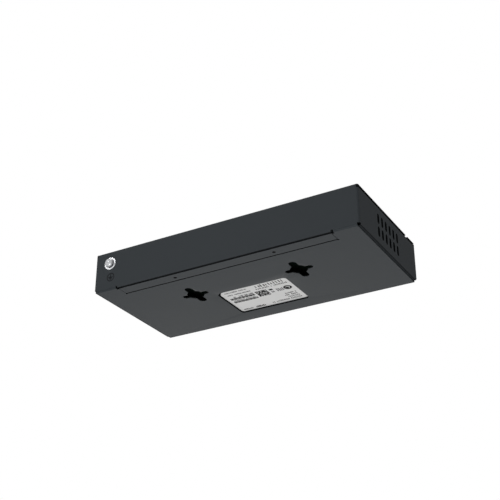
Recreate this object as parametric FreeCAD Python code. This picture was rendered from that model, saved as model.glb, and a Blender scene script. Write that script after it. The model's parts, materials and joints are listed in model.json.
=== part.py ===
"""Small network switch in a folded sheet-metal case, for a desk or a wall.

Frame: origin midway between the two wall-mount keyholes, on the underside of the case.
+X runs along the case, +Y points at the rear wall, +Z points up. Sizes are in millimetres.
"""
import FreeCAD, Part
import math
import os

V = FreeCAD.Vector

# ------------------------------------------------------------------ case
case_width = 210.0
case_depth = 98.0
case_height = 30.4
sheet = 0.8                    # steel sheet of base and cover
base_bend = 0.7                # inside radius of the base's folds
seam_gap = 0.1                 # air between two sheet edges that meet at a corner
corner_relief = 2.0            # square relief at the ends of the bottom folds
floor_side_gap = 1.1           # open slot between the floor's edge and a side wall's inner face
rear_wall_drop = 0.1           # top of the rear wall below the lid's top face
side_flange = 6.0              # inward flange at the top of each side wall
fold_relief = 0.3              # slit between a fold and the sheet beside it
front_flange = 12.8            # return flange at the top of the front panel

# ------------------------------------------------------------------ wall-mount keyholes
keyhole_spacing = 84.0
keyhole_from_rear = 38.0
keyhole_bore = 12.5
keyhole_long_arm = 25.0
keyhole_long_width = 5.7
keyhole_cross_arm = 21.0
keyhole_cross_width = 4.4

# ------------------------------------------------------------------ rating label and its stamped recess
label_width = 55.0
label_depth = 37.2
label_corner = 1.8
label_key_corner = 3.6         # the larger corner, at the rear towards +X
label_thickness = 0.15
label_margin = 0.65            # between label and recess wall
label_from_middle = 0.7        # label centre to the case's middle, towards +X
label_from_front = 34.0        # label centre to the front face
recess_depth = 1.05

# ------------------------------------------------------------------ rear window and its closing strip
window_from_side = 20.6        # window's end to the side wall's face
window_depth = 11.9            # rear face to the window's front edge
window_rise = 0.2              # rear wall's lower edge above the underside, along the window
window_corner = 0.7            # round relief at the window's front corners
window_notch = 1.6             # notch at each end of the window, where the fold begins
notch_depth = 2.7              # notch's reach from the rear face
strip_rear_gap = 2.1           # rear face to the closing strip
strip_front_gap = 1.1
strip_end_gap = 0.3
strip_screw_spacing = 78.6
strip_screw_from_rear = 6.9
strip_screw_head = 2.5
strip_screw_shank = 1.5
strip_screw_length = 3.6
strip_screw_drive = 1.1        # across the hex socket
backing_strip_thickness = 1.0
backing_lap = 6.0              # backing strip's hold on the floor
backing_reach = 8.0            # its reach over the window
backing_short = 1.2            # its end short of the window's end

# ------------------------------------------------------------------ cover
cover_bend = 0.5               # inside radius of the cover's folds
cover_gap = 0.2                # running gap between cover and base
lid_side_inset = 0.05
lid_groove = 3.9               # open groove between lid and front flange
tongue_lap = 8.0               # tongue under the front flange
tongue_side_gap = 0.5          # tongue to the side flanges
flap_end_gap = 0.3             # rear flap's end short of the window's end
flange_board_gap = 0.6         # flap's bottom flange to the board's rear edge

# ------------------------------------------------------------------ side vents
vent_columns = 6
vent_rows = 2
vent_pitch = 6.45
vent_row_pitch = 9.7
vent_width = 3.1
vent_length = 7.6
vent_first_from_rear = 31.9
vent_top_from_top = 10.9       # centre of the upper row below the top

# ------------------------------------------------------------------ ground screw on the rear wall
ground_from_side = 13.4
ground_from_top = 9.6
ground_thread = 4.0
ground_length = 8.0
ground_head = 7.0
ground_head_height = 2.4
ground_head_rim = 1.0          # straight part of the head's side
ground_head_flat = 4.6         # across the head's flat top
ground_drive_width = 1.0
ground_drive_length = 4.2
ground_drive_depth = 1.5
washer_outer = 9.5
washer_thickness = 0.8
washer_bore_gap = 0.15
spring_washer_outer = 6.8
spring_washer_thickness = 0.9
spring_washer_split = 0.8      # open gap in the ring
spring_washer_turn = 35        # degrees from +Z to the gap, towards -X
nut_across = 8.0
nut_height = 2.4
wall_hole_gap = 0.2            # wall's hole round the thread
thread_gap = 0.04

# ------------------------------------------------------------------ board and its standoffs
board_thickness = 1.6
board_side_gap = 7.2           # board's edge to the side wall's inner face
board_front_gap = 0.8          # board's edge to the front panel's inner face
board_rear_gap = 9.2           # board's edge to the rear wall's inner face
standoff_height = 7.2
standoff_across = 5.5          # across flats
standoff_bore = 2.6
standoff_side_inset = 6.0      # from the board's long ends
standoff_front_inset = 42.0    # from the board's front edge
standoff_between_inset = 9.0   # the one between the port blocks, from the board's front edge
standoff_rear_inset = 6.0      # from the board's rear edge
board_screw_head = 5.4
board_screw_head_height = 1.8
board_screw_length = 5.0
board_hole_gap = 0.3

# ------------------------------------------------------------------ insulating film on the base
film_thickness = 0.25
film_edge_gap = 5.0            # film's edge to the walls
film_hole_gap = 1.2            # film round keyholes, recess, standoffs and strip

# ------------------------------------------------------------------ copper port blocks
port_pitch = 14.0
uplink_count = 2
uplink_from_side = 21.4        # middle of the uplink block to the case's side
port_block_end = 1.0           # end wall beyond the outer port's half pitch
port_block_height = 12.6
port_block_depth = 21.0
port_socket_depth = 12.5
port_socket_width = 11.9
port_socket_floor = 3.0        # above the board
port_socket_height = 7.2
latch_width = 6.3
latch_depth = 1.5
latch_slot_width = 3.4
latch_slot_depth = 0.7
contact_count = 8
contact_pitch = 1.02
contact_width = 0.45
contact_thickness = 0.3
contact_drop = 2.1             # how far the wires lean into the socket
contact_reach = 8.5
shield_thickness = 0.3
panel_port_gap = 0.4           # panel cut-out round a shield
block_gap = 8.0                # between the two blocks' shields
lights_gap = 3.0               # least room between the lights and the long block

# ------------------------------------------------------------------ power jack
jack_from_side = 14.0
jack_width = 9.2
jack_depth = 14.0
jack_height = 11.0
jack_axis_height = 6.4         # above the board
jack_nose = 8.0
jack_nose_gap = 0.3            # panel hole round the nose
jack_bore = 6.3
jack_bore_depth = 9.5
jack_pin = 2.0
jack_pin_recess = 1.2

# ------------------------------------------------------------------ indicator lights
light_columns = 5
light_rows = 2
light_pitch = 4.4
light_row_pitch = 5.2
light_width = 3.0
light_height = 1.6
light_gap = 0.15               # panel window round a light
lights_from_jack = 11.0
light_low_height = 4.8         # lower row above the board
light_bar_back = 9.0           # front face to the bar's front
light_bar_depth = 4.0
light_bar_margin = 3.6
light_foot = 1.6
led_size = (1.0, 1.6, 0.9)
led_pitch = 1.8                # between the two chips of one column
led_gap = 0.3

# ------------------------------------------------------------------ parts on the board
transformer_size = (20.0, 12.0, 6.0)
transformer_gap = 2.5          # behind the port blocks
chip_size = (20.0, 20.0, 1.4)
chip_centre = (14.0, 2.0)
pad_thickness = 0.5
heat_sink_side = 36.0
heat_sink_base = 2.5
heat_sink_height = 11.0
heat_sink_fins = 9
heat_sink_fin = 1.2
memory_size = (8.0, 5.3, 1.5)
memory_gap = 6.0               # beside the heat sink
crystal_size = (11.0, 4.6, 3.4)
crystal_gap = 6.5              # beside the heat sink
crystal_forward = 6.0          # nearer to the front than the chip
capacitor_diameter = 10.0
capacitor_height = 16.0
capacitor_chamfer = 0.4
capacitor_count = 3
capacitor_pitch = 12.5
capacitor_from_side = 29.0
capacitor_first_y = -10.0
inductor_size = (12.5, 12.5, 7.0)
inductor_corner = 2.0
inductor_from_side = 43.0
inductor_y = 14.0
power_chip_size = (9.0, 9.0, 1.2)
power_chip_count = 2
power_chip_pitch = 22.0
power_chip_from_side = 55.0
power_chip_first_y = -8.0
small_cap_size = (3.2, 2.5, 1.8)
small_cap_pitch = 13.0
small_cap_end_inset = 27.0     # least distance from the board's ends
small_cap_rear_inset = 4.0

# ------------------------------------------------------------------ places worked out from the sizes
half_width = case_width / 2
rear_y = keyhole_from_rear
front_y = rear_y - case_depth
base_fold = base_bend + sheet                  # outside radius of the base's folds
cover_fold = cover_bend + sheet                # outside radius of the cover's folds
seam = sheet + seam_gap                        # one sheet's edge behind the other sheet's face
lid_under = case_height - sheet
inner_x = half_width - sheet
inner_rear = rear_y - sheet
inner_front = front_y + sheet
label_y = front_y + label_from_front
window_half = half_width - window_from_side
window_front = rear_y - window_depth
backing_top = sheet + backing_strip_thickness
cover_rear = inner_rear - cover_gap
flap_half = window_half - flap_end_gap
lid_front = front_y + front_flange + lid_groove
ground_x = half_width - ground_from_side
ground_z = case_height - ground_from_top
board_low = sheet + standoff_height
board_top = board_low + board_thickness
board_half = inner_x - board_side_gap
board_front = inner_front + board_front_gap
board_rear = inner_rear - board_rear_gap
block_front = front_y + shield_thickness       # moulded block behind the shield's face
jack_x = jack_from_side - half_width
light_first_x = jack_x + lights_from_jack
lights_right = light_first_x + (light_columns - 1) * light_pitch + light_bar_margin
uplink_block_half = uplink_count * port_pitch / 2 + port_block_end
uplink_block_x = half_width - uplink_from_side
port_block_right = uplink_block_x - uplink_block_half - 2 * shield_thickness - block_gap
port_room = port_block_right - lights_right - lights_gap - 2 * port_block_end
port_count = int(port_room / port_pitch)
port_block_half = port_count * port_pitch / 2 + port_block_end
port_block_x = port_block_right - port_block_half
small_cap_room = 2 * (board_half - small_cap_end_inset)
small_cap_count = int(small_cap_room / small_cap_pitch) + 1


# ------------------------------------------------------------------ general shapes
def box(low_x, high_x, low_y, high_y, low_z, high_z):
    """Block between two corners."""
    size = (high_x - low_x, high_y - low_y, high_z - low_z)
    return Part.makeBox(*size, V(low_x, low_y, low_z))


def standing_block(centre, size, low_z):
    """Block that stands on a level, centred in plan."""
    x, y = centre
    wide, deep, high = size
    return box(x - wide / 2, x + wide / 2, y - deep / 2, y + deep / 2, low_z, low_z + high)


def cylinder(diameter, length, start, way):
    """Round bar from a point along a direction."""
    return Part.makeCylinder(diameter / 2, length, start, way)


def upright_edges(shape):
    """Straight edges of a block that run along Z."""
    return [edge for edge in shape.Edges if edge.BoundBox.DiagonalLength - edge.BoundBox.ZLength < seam_gap]


def rounded_block(width, depth, corner, low_z, high_z):
    """Upright block with round vertical corners, centred on the Z axis."""
    block = box(-width / 2, width / 2, -depth / 2, depth / 2, low_z, high_z)
    return block.makeFillet(corner, upright_edges(block))


def slot(length, width, height):
    """Upright bar with round ends, along X, centred on the origin and starting at z = 0."""
    straight = (length - width) / 2
    middle = box(-straight, straight, -width / 2, width / 2, 0, height)
    ends = [cylinder(width, height, V(x, 0, 0), V(0, 0, 1)) for x in (-straight, straight)]
    return middle.fuse(ends).removeSplitter()


def moved(shape, x=0.0, y=0.0, z=0.0):
    """Copy of a shape at another place."""
    copy = shape.copy()
    copy.translate(V(x, y, z))
    return copy


def turned(shape, way, angle):
    """Copy of a shape turned about a line through the origin."""
    copy = shape.copy()
    copy.rotate(V(0, 0, 0), way, angle)
    return copy


def mirrored(shape):
    """Copy of a shape on the other side of the case's middle plane."""
    return shape.mirror(V(0, 0, 0), V(1, 0, 0))


def both_sides(shape):
    """A shape and its mirror image."""
    return [shape, mirrored(shape)]


def prism(points, way, thickness, base):
    """Closed outline of straight runs, thickened along a direction from a starting point."""
    outline = Part.makePolygon([base + point for point in points + points[:1]])
    return Part.Face(outline).extrude(way * thickness)


def revolved(profile, axis_point, way):
    """Solid of revolution of a closed outline round a line."""
    outline = Part.makePolygon(profile + profile[:1])
    return Part.Face(outline).revolve(axis_point, way, 360)


def regular_prism(across, sides, height, place):
    """Upright prism with flat sides, such as a hexagon, by its size across flats."""
    reach = across / 2 / math.cos(math.pi / sides)
    points = []
    for step in range(sides):
        angle = 2 * math.pi * (step + 0.5) / sides
        points.append(V(reach * math.cos(angle), reach * math.sin(angle), 0))
    return prism(points, V(0, 0, 1), height, place)


# ------------------------------------------------------------------ folded sheet
def left_skin(corners, thickness):
    """Corners of the skin that lies one sheet thickness to the left of a path of straight runs."""
    runs = [(after - before).normalize() for before, after in zip(corners, corners[1:])]
    sides = [V(-run.y, run.x, 0) for run in runs]
    skin = [corners[0] + sides[0] * thickness]
    for corner, side, next_side in zip(corners[1:], sides, sides[1:]):
        skin.append(corner + (side + next_side) * (thickness / (1 + side.dot(next_side))))
    skin.append(corners[-1] + sides[-1] * thickness)
    return skin


def turns_left(before, corner, after):
    """Whether a path turns left at a corner."""
    return (corner - before).cross(after - corner).z > 0


def rounded_path(corners, left_radius, right_radius):
    """Edges of a path whose left and right turns are replaced by tangent arcs."""
    edges = []
    start = corners[0]
    for before, corner, after in zip(corners, corners[1:], corners[2:]):
        radius = left_radius if turns_left(before, corner, after) else right_radius
        back = (before - corner).normalize()
        ahead = (after - corner).normalize()
        half_angle = back.getAngle(ahead) / 2
        reach = radius / math.tan(half_angle)
        crown = radius / math.sin(half_angle) - radius
        first = corner + back * reach
        last = corner + ahead * reach
        middle = corner + (back + ahead).normalize() * crown
        edges.append(Part.LineSegment(start, first).toShape())
        edges.append(Part.Arc(first, middle, last).toShape())
        start = last
    edges.append(Part.LineSegment(start, corners[-1]).toShape())
    return edges


def folded_section(points, inside):
    """Section of a folded sheet: points follow one skin, and the sheet lies to their left."""
    near = [V(a, b, 0) for a, b in points]
    far = left_skin(near, sheet)
    outside = inside + sheet
    edges = rounded_path(near, outside, inside)
    edges += rounded_path(far, inside, outside)
    edges.append(Part.LineSegment(near[0], far[0]).toShape())
    edges.append(Part.LineSegment(near[-1], far[-1]).toShape())
    return Part.Face(Part.Wire(Part.sortEdges(edges)[0]))


def folded_along_x(points, inside, low_x, high_x):
    """Folded sheet with its section given as (y, z), between two places along X."""
    solid = folded_section(points, inside).extrude(V(0, 0, high_x - low_x))
    solid.rotate(V(0, 0, 0), V(1, 1, 1), 120)
    return moved(solid, x=low_x)


def folded_along_y(points, inside, low_y, high_y):
    """Folded sheet with its section given as (x, z), between two places along Y."""
    solid = folded_section(points, inside).extrude(V(0, 0, high_y - low_y))
    solid.rotate(V(0, 0, 0), V(1, 0, 0), 90)
    return moved(solid, y=high_y)


def folded_along_z(points, inside, low_z, high_z):
    """Folded sheet with its section given as (x, y), between two heights."""
    solid = folded_section(points, inside).extrude(V(0, 0, high_z - low_z))
    return moved(solid, z=low_z)


# ------------------------------------------------------------------ base shell
def base_spine():
    """Front flange, front panel, floor and rear wall as one strip, folded along X."""
    rear_top = case_height - rear_wall_drop
    floor_half = half_width - seam
    strip = folded_along_x(
        [
            (front_y + front_flange, case_height),
            (front_y, case_height),
            (front_y, 0),
            (rear_y, 0),
            (rear_y, rear_top),
        ],
        base_bend,
        -floor_half,
        floor_half,
    )
    corner = base_fold + fold_relief
    beside_rear = box(half_width - corner, half_width, inner_rear - base_bend, rear_y, base_fold, case_height)
    ears = box(
        -half_width,
        half_width,
        front_y + base_fold,
        front_y + front_flange,
        lid_under,
        case_height,
    )
    return strip.cut(both_sides(beside_rear)).fuse(ears)


def base_walls():
    """Side walls folded forward off the rear wall, each with an inward flange along its top."""
    wall_front = front_y + seam
    plan = [
        (half_width, wall_front),
        (half_width, rear_y),
        (-half_width, rear_y),
        (-half_width, wall_front),
    ]
    fold_top = lid_under - base_fold
    walls = folded_along_z(plan, base_bend, seam, fold_top)
    posts = folded_along_z(plan, base_bend, fold_top - base_fold, lid_under - seam_gap)
    post_side = base_fold + fold_relief
    post_place = box(half_width - post_side, half_width, rear_y - base_fold, rear_y, 0, case_height)
    front_place = box(inner_x, half_width, wall_front, front_y + base_fold, 0, case_height)
    posts = posts.common(Part.makeCompound(both_sides(post_place) + both_sides(front_place)))
    flange = folded_along_y(
        [
            (half_width, fold_top - base_fold),
            (half_width, lid_under),
            (half_width - side_flange, lid_under),
        ],
        base_bend,
        front_y + base_fold + seam_gap,
        rear_y - base_fold - fold_relief,
    )
    return walls.fuse([posts] + both_sides(flange))


def keyhole():
    """Cross-shaped wall-mount hole: a round entry with two long and two short arms."""
    height = 3 * sheet
    entry = cylinder(keyhole_bore, height, V(0, 0, 0), V(0, 0, 1))
    long_arm = turned(slot(keyhole_long_arm, keyhole_long_width, height), V(0, 0, 1), 90)
    cross_arm = slot(keyhole_cross_arm, keyhole_cross_width, height)
    return moved(entry.fuse([long_arm, cross_arm]), z=-sheet)


def keyholes():
    """Both wall-mount holes, ready to cut."""
    return both_sides(moved(keyhole(), x=keyhole_spacing / 2))


def label_block(grow, low_z, high_z):
    """Block with the label's outline, grown all round; one of its corners is larger."""
    half_wide = label_width / 2 + grow
    half_deep = label_depth / 2 + grow
    block = box(-half_wide, half_wide, -half_deep, half_deep, low_z, high_z)
    corners = sorted(upright_edges(block), key=lambda edge: edge.CenterOfMass.x + edge.CenterOfMass.y)
    key = corners.pop()
    block = block.makeFillet(label_corner + grow, corners)
    key = min(upright_edges(block), key=lambda edge: edge.CenterOfMass.distanceToPoint(key.CenterOfMass))
    block = block.makeFillet(label_key_corner + grow, [key])
    return moved(block, label_from_middle, label_y)


def vents():
    """Rows of upright slots for one side wall."""
    one = turned(slot(vent_length, vent_width, 3 * sheet), V(0, 1, 0), 90)
    first_y = rear_y - vent_first_from_rear
    top_z = case_height - vent_top_from_top
    cuts = []
    for column in range(vent_columns):
        for row in range(vent_rows):
            y = first_y - column * vent_pitch
            z = top_z - row * vent_row_pitch
            cuts.append(moved(one, inner_x - sheet, y, z))
    return cuts


def window_cuts():
    """Rear window in the floor: the opening, its end notches and its round front corners."""
    through = 3 * sheet
    opening = box(-window_half, window_half, window_front, rear_y + sheet, -sheet, base_fold)
    notch_end = window_half + window_notch
    notch = box(window_half, notch_end, rear_y - notch_depth, rear_y + sheet, -sheet, base_fold)
    corner = cylinder(2 * window_corner, through, V(window_half, window_front, -sheet), V(0, 0, 1))
    return [opening] + both_sides(notch) + both_sides(corner)


def corner_reliefs():
    """Square reliefs where the bottom folds run out at the four corners."""
    low_x = half_width - corner_relief
    rear = box(low_x, half_width, rear_y - corner_relief, rear_y, 0, corner_relief)
    front = box(low_x, half_width, front_y, front_y + corner_relief, 0, corner_relief)
    return both_sides(rear) + both_sides(front)


def floor_slots():
    """Open slots along the floor's two short edges, between the corner reliefs."""
    inner = inner_x - floor_side_gap
    slot_room = box(inner, half_width, front_y + corner_relief, rear_y - corner_relief, 0, sheet)
    return both_sides(slot_room)


def block_cut(centre_x, half_length):
    """Panel cut-out round a port block's shield."""
    grow = shield_thickness + panel_port_gap
    return box(
        centre_x - half_length - grow,
        centre_x + half_length + grow,
        front_y - sheet,
        inner_front + sheet,
        board_top - panel_port_gap,
        board_top + port_block_height + grow,
    )


def light_blocks(grow, low_y, high_y):
    """Block for each indicator light, grown all round, between two places along Y."""
    half_wide = light_width / 2 + grow
    half_high = light_height / 2 + grow
    blocks = []
    for column in range(light_columns):
        for row in range(light_rows):
            x = light_first_x + column * light_pitch
            z = board_top + light_low_height + row * light_row_pitch
            blocks.append(box(x - half_wide, x + half_wide, low_y, high_y, z - half_high, z + half_high))
    return blocks


def panel_cuts():
    """Openings of the front panel for the port blocks, the power jack and the lights."""
    cuts = [block_cut(port_block_x, port_block_half), block_cut(uplink_block_x, uplink_block_half)]
    nose = V(jack_x, front_y - sheet, board_top + jack_axis_height)
    cuts.append(cylinder(jack_nose + 2 * jack_nose_gap, 3 * sheet, nose, V(0, 1, 0)))
    return cuts + light_blocks(light_gap, front_y - sheet, inner_front + sheet)


def base_shell():
    """Floor, front panel, rear wall and side walls folded from one sheet."""
    shell = base_spine().fuse(base_walls())
    shell = shell.cut(window_cuts() + corner_reliefs() + floor_slots())
    straight_edge = box(-window_half, window_half, inner_rear, rear_y, window_rise, base_fold)
    plateau = label_block(label_margin + sheet, 0, recess_depth + sheet)
    shell = shell.fuse([straight_edge, plateau])
    ground_hole = ground_thread + 2 * wall_hole_gap
    ground_start = V(ground_x, inner_rear - sheet, ground_z)
    cuts = [label_block(label_margin, -sheet, recess_depth)]
    cuts += keyholes() + panel_cuts()
    for vent in vents():
        cuts += both_sides(vent)
    cuts.append(cylinder(ground_hole, 3 * sheet, ground_start, V(0, 1, 0)))
    return shell.cut(cuts).removeSplitter()


# ------------------------------------------------------------------ cover
def cover_flap():
    """Rear flap inside the rear wall, from the fold at the lid down to a flange over the backing strip."""
    return folded_along_x(
        [
            (board_rear + flange_board_gap, backing_top),
            (cover_rear, backing_top),
            (cover_rear, case_height),
            (cover_rear - 2 * cover_fold, case_height),
        ],
        cover_bend,
        -flap_half,
        flap_half,
    )


def lid_plate():
    """Flat top plate with an ear over each rear corner, slit beside the rear fold."""
    lid_half = half_width - lid_side_inset
    fold_line = cover_rear - cover_fold
    plate = box(-lid_half, lid_half, lid_front, fold_line, lid_under, case_height)
    wing = box(
        flap_half + 3 * fold_relief,
        lid_half,
        fold_line,
        cover_rear,
        lid_under,
        case_height,
    )
    ear_inner = half_width - base_fold - fold_relief + seam_gap
    ear = box(ear_inner, lid_half, fold_line, rear_y - lid_side_inset, lid_under, case_height)
    outer = max(upright_edges(ear), key=lambda edge: edge.CenterOfMass.x + edge.CenterOfMass.y)
    ear = ear.makeFillet(base_fold - lid_side_inset, [outer])
    return plate.fuse(both_sides(wing) + both_sides(ear))


def lid_tongue():
    """Front edge of the lid, stepped down to pass under the front panel's flange."""
    step = sheet + cover_gap
    tongue_half = half_width - side_flange - tongue_side_gap
    tongue_front = lid_front - lid_groove - tongue_lap
    return folded_along_x(
        [
            (lid_front + 2 * sheet, case_height),
            (lid_front, case_height),
            (lid_front - step, case_height - step),
            (tongue_front, case_height - step),
        ],
        cover_bend,
        -tongue_half,
        tongue_half,
    )


def countersunk_screw(head, shank, length, gap=0.0):
    """Countersunk screw that points upwards from a flush head at z = 0, grown all round for its hole."""
    depth = (head - shank) / 2
    profile = [
        V(0, 0, 0),
        V(head / 2 + gap, 0, 0),
        V(shank / 2 + gap, 0, depth),
        V(shank / 2 + gap, 0, length),
        V(0, 0, length),
    ]
    return revolved(profile, V(0, 0, 0), V(0, 0, 1))


def strip_screw_holes(length):
    """Countersunk holes at the closing strip's two screw places."""
    hole = countersunk_screw(strip_screw_head, strip_screw_shank, length, thread_gap)
    return at_strip_screws(hole)


def at_strip_screws(shape):
    """A shape at each of the closing strip's two screw places."""
    y = rear_y - strip_screw_from_rear
    return [moved(shape, x, y) for x in (-strip_screw_spacing / 2, strip_screw_spacing / 2)]


def top_cover():
    """Lid with a stepped front tongue and a rear flap that the closing strip's screws hold down."""
    tongue = lid_tongue()
    behind_edge = box(-half_width, half_width, lid_front, rear_y, lid_under - sheet, lid_under)
    tongue = tongue.cut(behind_edge)
    cover = lid_plate().fuse([cover_flap(), tongue])
    return cover.cut(strip_screw_holes(strip_screw_length)).removeSplitter()


def closing_strip():
    """Flat strip that closes the rear window, flush with the underside."""
    reach = window_half - strip_end_gap
    strip = box(-reach, reach, window_front + strip_front_gap, rear_y - strip_rear_gap, 0, sheet)
    return strip.cut(strip_screw_holes(strip_screw_length))


def strip_screws():
    """Two small countersunk screws through closing strip, backing strip and cover."""
    screw = countersunk_screw(strip_screw_head, strip_screw_shank, strip_screw_length)
    drive = regular_prism(strip_screw_drive, 6, sheet / 2, V(0, 0, 0))
    return Part.makeCompound(at_strip_screws(screw.cut(drive)))


def backing_strip():
    """Flat strip welded inside the base along the window's front edge, with holes for the screws."""
    reach = window_half - backing_short
    low_y = window_front - backing_lap
    strip = box(-reach, reach, low_y, window_front + backing_reach, sheet, backing_top)
    return strip.cut(strip_screw_holes(strip_screw_length))


# ------------------------------------------------------------------ label
def rating_label():
    """Paper label on the roof of the stamped recess."""
    return label_block(0, recess_depth - label_thickness, recess_depth)


# ------------------------------------------------------------------ ground screw
def washer_ring(outer, thickness):
    """Flat ring about the Y axis that clears the screw's thread and starts at y = 0."""
    disc = cylinder(outer, thickness, V(0, 0, 0), V(0, 1, 0))
    bore = cylinder(ground_thread + 2 * washer_bore_gap, thickness, V(0, 0, 0), V(0, 1, 0))
    return disc.cut(bore)


def ground_washer():
    """Flat washer on the rear wall."""
    return moved(washer_ring(washer_outer, washer_thickness), ground_x, rear_y, ground_z)


def ground_spring_washer():
    """Split ring between the flat washer and the screw's head."""
    ring = washer_ring(spring_washer_outer, spring_washer_thickness)
    half = spring_washer_split / 2
    split = box(-half, half, 0, spring_washer_thickness, 0, spring_washer_outer)
    ring = turned(ring.cut(split), V(0, 1, 0), -spring_washer_turn)
    return moved(ring, ground_x, rear_y + washer_thickness, ground_z)


def ground_screw():
    """Pan-head screw with a cross recess."""
    seat = rear_y + washer_thickness + spring_washer_thickness
    tip = seat - ground_length
    top = seat + ground_head_height
    profile = [
        V(0, tip, 0),
        V(ground_thread / 2, tip, 0),
        V(ground_thread / 2, seat, 0),
        V(ground_head / 2, seat, 0),
        V(ground_head / 2, seat + ground_head_rim, 0),
        V(ground_head_flat / 2, top, 0),
        V(0, top, 0),
    ]
    screw = revolved(profile, V(0, 0, 0), V(0, 1, 0))
    return moved(screw.cut(cross_recess(top)), x=ground_x, z=ground_z)


def cross_recess(top):
    """Two crossed wedges that narrow towards the screw's shank."""
    half = ground_drive_length / 2
    narrow = ground_drive_width
    low = top - ground_drive_depth
    wedge = prism(
        [V(-half, top, 0), V(half, top, 0), V(narrow / 2, low, 0), V(-narrow / 2, low, 0)],
        V(0, 0, 1),
        narrow,
        V(0, 0, -narrow / 2),
    )
    return wedge.fuse(turned(wedge, V(0, 1, 0), 90))


def ground_weld_nut():
    """Hexagonal nut welded behind the rear wall."""
    nut = regular_prism(nut_across, 6, nut_height, V(0, 0, 0))
    nut = nut.cut(cylinder(ground_thread + 2 * thread_gap, nut_height, V(0, 0, 0), V(0, 0, 1)))
    return moved(turned(nut, V(1, 0, 0), 90), ground_x, inner_rear, ground_z)


# ------------------------------------------------------------------ board, standoffs and film
def standoff_places():
    """Plan positions of the board's standoffs."""
    x = board_half - standoff_side_inset
    front = board_front + standoff_front_inset
    rear = board_rear - standoff_rear_inset
    between = port_block_x + port_block_half + shield_thickness + block_gap / 2
    return [(-x, front), (x, front), (-x, rear), (x, rear), (between, board_front + standoff_between_inset)]


def board_standoffs():
    """Hexagonal standoffs clinched into the floor."""
    post = regular_prism(standoff_across, 6, standoff_height, V(0, 0, sheet))
    post = post.cut(cylinder(standoff_bore, standoff_height, V(0, 0, sheet), V(0, 0, 1)))
    return Part.makeCompound([moved(post, x, y) for x, y in standoff_places()])


def main_board():
    """Circuit board on the standoffs."""
    board = box(-board_half, board_half, board_front, board_rear, board_low, board_top)
    hole = cylinder(standoff_bore + 2 * board_hole_gap, board_thickness, V(0, 0, board_low), V(0, 0, 1))
    return board.cut([moved(hole, x, y) for x, y in standoff_places()])


def board_screws():
    """Flat-headed screws that hold the board down."""
    shank = cylinder(
        standoff_bore - 2 * thread_gap,
        board_screw_length,
        V(0, 0, board_top - board_screw_length),
        V(0, 0, 1),
    )
    head = cylinder(board_screw_head, board_screw_head_height, V(0, 0, board_top), V(0, 0, 1))
    screw = shank.fuse(head)
    return Part.makeCompound([moved(screw, x, y) for x, y in standoff_places()])


def insulating_film():
    """Film glued to the floor, cut out round the keyholes, the recess, the strip and the standoffs."""
    film_half = inner_x - film_edge_gap
    film_front = inner_front + film_edge_gap
    strip_front = window_front - backing_lap - film_hole_gap
    film = box(-film_half, film_half, film_front, strip_front, sheet, sheet + film_thickness)
    grow = 2 * film_hole_gap
    hole_x = keyhole_spacing / 2
    long_side = keyhole_long_arm + grow
    cross_side = keyhole_cross_arm + grow
    cuts = []
    for x in (-hole_x, hole_x):
        cuts.append(box(x - cross_side / 2, x + cross_side / 2, -long_side / 2, long_side / 2, 0, board_low))
    cuts.append(label_block(label_margin + sheet + film_hole_gap, 0, board_low))
    for place in standoff_places():
        cuts.append(standing_block(place, (standoff_across + grow, standoff_across + grow, board_low), 0))
    return film.cut(cuts)


# ------------------------------------------------------------------ copper port blocks
def port_centres(centre_x, count):
    """Middles of the sockets of one block, along X."""
    first = centre_x - (count - 1) * port_pitch / 2
    return [first + step * port_pitch for step in range(count)]


def socket_outline():
    """Socket section as (x, z): the plug's body with the latch's two steps below it."""
    floor = port_socket_floor
    roof = floor + port_socket_height
    step = floor - latch_depth
    low = step - latch_slot_depth
    right = [
        (latch_slot_width / 2, low),
        (latch_slot_width / 2, step),
        (latch_width / 2, step),
        (latch_width / 2, floor),
        (port_socket_width / 2, floor),
        (port_socket_width / 2, roof),
    ]
    left = [(-x, z) for x, z in reversed(right)]
    return right + left


def socket_hollow(x, start_y, depth):
    """Socket-shaped hollow from a face inwards."""
    points = [V(a, 0, b) for a, b in socket_outline()]
    return prism(points, V(0, 1, 0), depth, V(x, start_y, board_top))


def port_housing(centre_x, half_length, count):
    """Moulded block with a row of sockets."""
    block = box(
        centre_x - half_length,
        centre_x + half_length,
        block_front,
        front_y + port_block_depth,
        board_top,
        board_top + port_block_height,
    )
    sockets = [socket_hollow(x, block_front, port_socket_depth) for x in port_centres(centre_x, count)]
    return block.cut(sockets)


def port_shield(centre_x, half_length, count):
    """Thin metal case over a port block, open below, with its sockets cut through the front."""
    wall = shield_thickness
    top = board_top + port_block_height
    back = front_y + port_block_depth
    outer = box(
        centre_x - half_length - wall,
        centre_x + half_length + wall,
        front_y,
        back + wall,
        board_top,
        top + wall,
    )
    inner = box(centre_x - half_length, centre_x + half_length, block_front, back, board_top, top)
    mouths = [socket_hollow(x, front_y, wall) for x in port_centres(centre_x, count)]
    return outer.cut([inner] + mouths)


def contact_wire():
    """Spring wire that leans from the socket's rear wall down towards its mouth."""
    rear = block_front + port_socket_depth
    high = board_top + port_socket_floor + port_socket_height - contact_thickness
    front = rear - contact_reach
    low = high - contact_drop
    points = [
        V(0, rear, high),
        V(0, rear, high - contact_thickness),
        V(0, front, low - contact_thickness),
        V(0, front, low),
    ]
    return prism(points, V(1, 0, 0), contact_width, V(-contact_width / 2, 0, 0))


def port_contacts(centre_x, count):
    """All contact wires of one block."""
    wire = contact_wire()
    wires = []
    for port_x in port_centres(centre_x, count):
        for step in range(contact_count):
            offset = (step - (contact_count - 1) / 2) * contact_pitch
            wires.append(moved(wire, x=port_x + offset))
    return Part.makeCompound(wires)


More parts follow.
